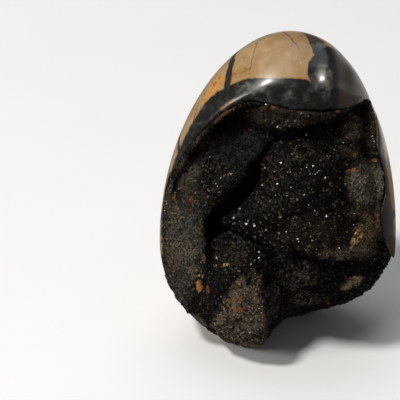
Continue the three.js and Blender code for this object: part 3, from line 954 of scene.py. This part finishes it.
def crystalGroup():
    # Geometry nodes that grow the crystals of one bay all over the exposed crust.
    group = bpy.data.node_groups.new("fineCrystals", "GeometryNodeTree")
    group.interface.new_socket("Geometry", in_out="INPUT", socket_type="NodeSocketGeometry")
    group.interface.new_socket("Bay", in_out="INPUT", socket_type="NodeSocketInt")
    group.interface.new_socket("Geometry", in_out="OUTPUT", socket_type="NodeSocketGeometry")

    def node(kind, settings=None, inputs=None):
        made = group.nodes.new(kind)
        for name, value in (settings or {}).items():
            setattr(made, name, value)
        for name, value in (inputs or {}).items():
            socket = made.inputs[name]
            if isinstance(value, bpy.types.NodeSocket):
                group.links.new(value, socket)
            else:
                socket.default_value = value
        return made

    def attribute(name):
        return node("GeometryNodeInputNamedAttribute", {"data_type": "FLOAT"}, {"Name": name}).outputs[0]

    source = node("NodeGroupInput")
    isBay = node("FunctionNodeCompare", {"data_type": "FLOAT", "operation": "EQUAL"}, {
        0: attribute("bay"), 1: source.outputs["Bay"], "Epsilon": 0.5,
    })
    places = node("GeometryNodeDistributePointsOnFaces", {"distribute_method": "POISSON"}, {
        "Mesh": source.outputs["Geometry"], "Selection": isBay.outputs[0],
        "Distance Min": crystals["spacing"], "Density Max": crystals["density"],
        "Density Factor": attribute("exposed"), "Seed": crystals["seed"],
    })
    cube = node("GeometryNodeMeshCube", {}, {"Size": (crystals["cube"],) * 3})
    stand = node("GeometryNodeTransform", {}, {
        "Geometry": cube.outputs["Mesh"], "Rotation": (crystals["onCorner"], 0, 0),
    })
    chance = node("FunctionNodeRandomValue", {"data_type": "FLOAT"}, {
        2: 0.0, 3: 1.0, "Seed": crystals["sizeSeed"],
    })
    rare = node("ShaderNodeMath", {"operation": "POWER"}, {0: chance.outputs[1], 1: crystals["rarity"]})
    smallest, largest = crystals["size"]
    size = node("ShaderNodeMapRange", {}, {"Value": rare.outputs[0], "To Min": smallest, "To Max": largest})
    tilt = crystals["tilt"]
    turn = node("FunctionNodeRandomValue", {"data_type": "FLOAT_VECTOR"}, {
        0: (-tilt, -tilt, 0.0), 1: (tilt, tilt, 2 * math.pi), "Seed": crystals["tiltSeed"],
    })
    turned = node("FunctionNodeRotateRotation", {"rotation_space": "LOCAL"}, {
        "Rotation": places.outputs["Rotation"], "Rotate By": turn.outputs[0],
    })
    grown = node("GeometryNodeInstanceOnPoints", {}, {
        "Points": places.outputs["Points"], "Instance": stand.outputs["Geometry"],
        "Rotation": turned.outputs[0], "Scale": size.outputs[0],
    })
    tone = node("FunctionNodeRandomValue", {"data_type": "FLOAT"}, {
        2: 0.0, 3: 1.0, "Seed": crystals["toneSeed"],
    })
    toned = node("GeometryNodeStoreNamedAttribute", {"data_type": "FLOAT", "domain": "INSTANCE"}, {
        "Geometry": grown.outputs["Instances"], "Name": "tone", "Value": tone.outputs[1],
    })
    real = node("GeometryNodeRealizeInstances", {}, {"Geometry": toned.outputs["Geometry"]})
    node("NodeGroupOutput", {}, {"Geometry": real.outputs["Geometry"]})
    return group


def makeCrystals(crustObject):
    mesh = crustObject.data
    u, v, _ = toFace(placesOf(mesh)).T
    across, up = crystals["split"]
    setAttribute(mesh, "bay", (u > across).astype(float) + 2 * (v > up))
    group = crystalGroup()
    made = []
    for k in range(4):
        carrier = meshObject("carrier", mesh.copy())
        grow = carrier.modifiers.new("grow", "NODES")
        grow.node_group = group
        grow[group.interface.items_tree["Bay"].identifier] = k
        made.append(meshObject(f"fine_crystals_{k + 1}", settled(carrier, f"fine_crystals_{k + 1}")))
        print("crystals", k + 1, len(made[-1].data.polygons))
    return made


# Larger crystals on the crust that catch the light: place on the open face and width.
glints = {
    "places": (
        (-17.4, 24.2, 0.56), (-22.8, 20.6, 0.29), (-22.2, 19.8, 0.21), (-19.2, 21, 0.25), (-21, 22.7, 0.25),
        (-12.8, 33.8, 0.29), (-15.5, 29.2, 0.25), (-24.5, 12.8, 0.29), (-29.5, 9.9, 0.25), (0.2, 28, 0.56),
        (5.5, 28.7, 0.46), (11.5, 26.9, 0.46), (12.9, 26.9, 0.29), (13.6, 25.2, 0.34), (10.4, 24.1, 0.25),
        (15.8, 22.7, 0.56), (3.4, 24.8, 0.29), (2.6, 24.8, 0.21), (-1.5, 22, 0.34), (3.7, 19.5, 0.56),
        (4.1, 16.7, 0.34), (0.9, 16.7, 0.25), (2.2, 16.4, 0.21), (-0.6, 16.8, 0.21), (21.2, 18.5, 0.29),
        (9.2, 26.4, 0.25), (16.5, 30.5, 0.21), (22.9, -2.5, 0.46), (27, -3, 0.29), (13.9, -2.5, 0.25),
        (6.3, 1.1, 0.51), (6.6, 0.3, 0.29), (2.8, 1.8, 0.29), (-5, 4.3, 0.46), (-9.3, 6.4, 0.46),
        (-11.4, 7.5, 0.25), (10.6, -1, 0.25), (18.5, -0.3, 0.21), (-9.1, 0.3, 0.34), (-8.6, -0.2, 0.29),
        (-8, -0.8, 0.34), (-7, -1.9, 0.34), (-6.6, -2.3, 0.34), (-7.3, -3.7, 0.46), (-7.3, -5.8, 0.46),
        (-25.3, -1, 0.46), (-24.7, -0.6, 0.29), (-3.1, -16.6, 0.34), (-5.2, -20.9, 0.34),
        (-8.5, -34.3, 0.34), (-6.5, -25.6, 0.29), (-5.2, 48.6, 0.4), (1.6, -7.2, 0.25), (4.1, -9.4, 0.22),
        (6.6, -11.5, 0.25), (2.6, -12.2, 0.2), (8.3, -8.3, 0.22), (10.5, -13.3, 0.2), (-0.9, -7.9, 0.25),
        (5.5, -14.7, 0.2), (-3.4, -17.9, 0.22),
    ),
    "lights": ("window", "sidePanel", "skyPanel"),  # the first of them that reaches it is used
    "seed": 4,
}


def makeGlints(crustObject):
    # Each has one face turned halfway between the camera and a light that reaches it.
    mesh = crustObject.data
    tree = BVHTree.FromPolygons([v.co for v in mesh.vertices], [p.vertices for p in mesh.polygons])
    eye = bpy.context.scene.camera.location / mm
    out = Vector(outOfFace)
    chance = random.Random(glints["seed"])
    bm = bmesh.new()
    for u, v, width in glints["places"]:
        above = Vector(toPart(np.array((u, v, egg["topHeight"]))))
        place = tree.ray_cast(above, -out)[0]
        if place is None:
            print("no crust at", u, v)
            continue
        for name in glints["lights"]:
            toLight = (Vector(lights[name]["place"]) - place).normalized()
            if tree.ray_cast(place + toLight, toLight)[0] is None:
                break
        facing = (toLight + (eye - place).normalized()).normalized()
        turn = facing.to_track_quat("Z", "Y").to_matrix().to_4x4()
        turn = turn @ Matrix.Rotation(chance.uniform(0, 3), 4, "Z")
        bmesh.ops.create_cube(bm, size=width, matrix=Matrix.Translation(place) @ turn)
    made = bpy.data.meshes.new("glint_crystals")
    bm.to_mesh(made)
    return meshObject("glint_crystals", made)


# The floor. Only its part behind the egg at the right is mirrored in the polish.
floorTints = ((250, 251, 253), (245, 246, 248))
floorParts = {
    "near_floor": ((-6, -6), (6, 0.145)),
    "left_floor": ((-6, 0.145), (-0.02, 6)),
    "mirrored_floor": ((-0.02, 0.145), (1, 1)),
    "right_floor": ((1, 0.145), (6, 6)),
    "far_floor": ((-0.02, 1), (1, 6)),
}


def makeFloor():
    r = Recipe("pale_floor")
    place = partPlace(r)
    tint = r.mixed(shade(*floorTints[0]), shade(*floorTints[1]), r.noise(place, 60.0))
    material = r.finish({"Base Color": tint, "Roughness": 0.6})
    for name, (low, high) in floorParts.items():
        bm = bmesh.new()
        bmesh.ops.create_grid(bm, x_segments=1, y_segments=1, size=0.5)
        bmesh.ops.scale(bm, vec=(high[0] - low[0], high[1] - low[1], 1), verts=bm.verts)
        bmesh.ops.translate(bm, vec=((low[0] + high[0]) / 2, (low[1] + high[1]) / 2, 0), verts=bm.verts)
        mesh = bpy.data.meshes.new(name)
        bm.to_mesh(mesh)
        mesh.materials.append(material)
        floor = meshObject(name, mesh)
        floor.visible_glossy = name == "mirrored_floor"


sharpEdge = math.radians(40)


def finished(piece, material, smooth):
    # Brings a piece to metres, above the floor, and gives it its material.
    mesh = piece.data
    places = placesOf(mesh)
    places[:, 2] = np.maximum(places[:, 2], 0)
    setPlaces(mesh, places)
    mesh.transform(Matrix.Scale(mm, 4))
    mesh.materials.clear()
    mesh.materials.append(material)
    mesh.polygons.foreach_set("use_smooth", [smooth] * len(mesh.polygons))
    if smooth:
        mesh.set_sharp_from_angle(angle=sharpEdge)
    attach(piece, "root")


makeCamera()
makeLights()
makeFloor()
print("camera, lights and floor")

stoneTree = BVHTree.FromBMesh(mergedCopy("nodule"))
crustTree = BVHTree.FromBMesh(mergedCopy("druse"))

polishedStone, eggTree = makeStone()
setAttribute(polishedStone.data, "calcite", calciteReach(polishedStone.data, crustTree))
setAttribute(polishedStone.data, "brown", brownReach(polishedStone.data))
print("polished stone", len(polishedStone.data.polygons))

druseCrust = makeCrust(stoneTree, eggTree)
print("druse crust", len(druseCrust.data.polygons))
fineCrystals = makeCrystals(druseCrust)
fineCrystals.append(makeGlints(druseCrust))
print("glints", len(glints["places"]))

finished(polishedStone, polishedFinish(), True)
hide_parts("nodule")
finished(druseCrust, druseFinish("druse_crust", False), True)
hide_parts("druse")
crystalFinish = druseFinish("druse_crystals", True)
for piece in fineCrystals:
    finished(piece, crystalFinish, False)
